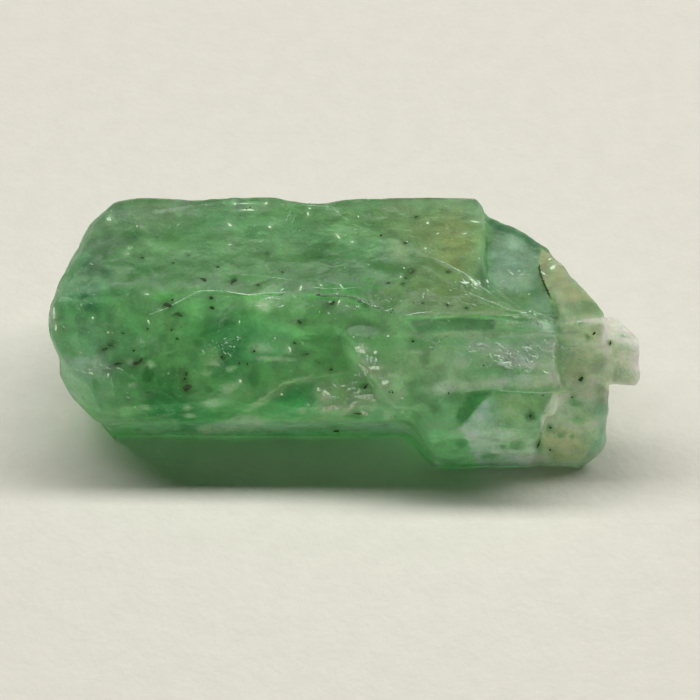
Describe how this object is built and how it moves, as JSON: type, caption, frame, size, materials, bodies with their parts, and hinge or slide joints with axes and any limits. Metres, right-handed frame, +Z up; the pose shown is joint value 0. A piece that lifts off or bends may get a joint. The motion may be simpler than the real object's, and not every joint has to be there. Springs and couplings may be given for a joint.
{
  "type": "raw emerald crystal",
  "caption": "Rough emerald: a broken, stepped hexagonal beryl prism with cleaved ends and shallow conchoidal hollows, lying on one flat prism face.",
  "frame": {"origin": "middle of the crystal's footprint, on the surface it lies on", "axes": "+X along the prism axis towards the stepped end with the tongue, -Y towards the front with the lower chunk, +Z up"},
  "size_m": [0.0197, 0.009, 0.007],
  "materials": {
    "emerald": "cloudy translucent green beryl, satin on its broken faces and glassy on its fresh fractures"
  },
  "bodies": {
    "root": {"emerald_crystal": "emerald"}
  },
  "joints": []
}
